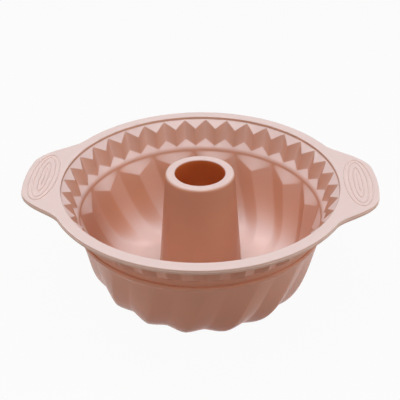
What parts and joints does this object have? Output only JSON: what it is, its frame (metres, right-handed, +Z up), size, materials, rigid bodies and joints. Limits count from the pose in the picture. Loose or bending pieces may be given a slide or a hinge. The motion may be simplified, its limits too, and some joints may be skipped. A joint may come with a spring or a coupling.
{
  "type": "ring cake mould",
  "caption": "Round flexible ring-cake mould with a flat rim, side grips, a pleated band, twisted flutes and a tapered central chimney.",
  "frame": {"origin": "centre of the flat base ring, on the surface that the mould stands on", "axes": "+Z up along the chimney, +X towards the right grip, -Y towards the viewer of the picture"},
  "size_m": [0.29, 0.2464, 0.1072],
  "materials": {
    "silicone": "satin pink silicone, a little translucent",
    "wire": "drawn stainless wire"
  },
  "bodies": {
    "root": {"rim_flange": "silicone", "left_grip": "silicone", "right_grip": "silicone", "pleated_collar": "silicone", "fluted_bowl": "silicone", "chimney": "silicone", "rim_wire": "wire"}
  },
  "joints": []
}
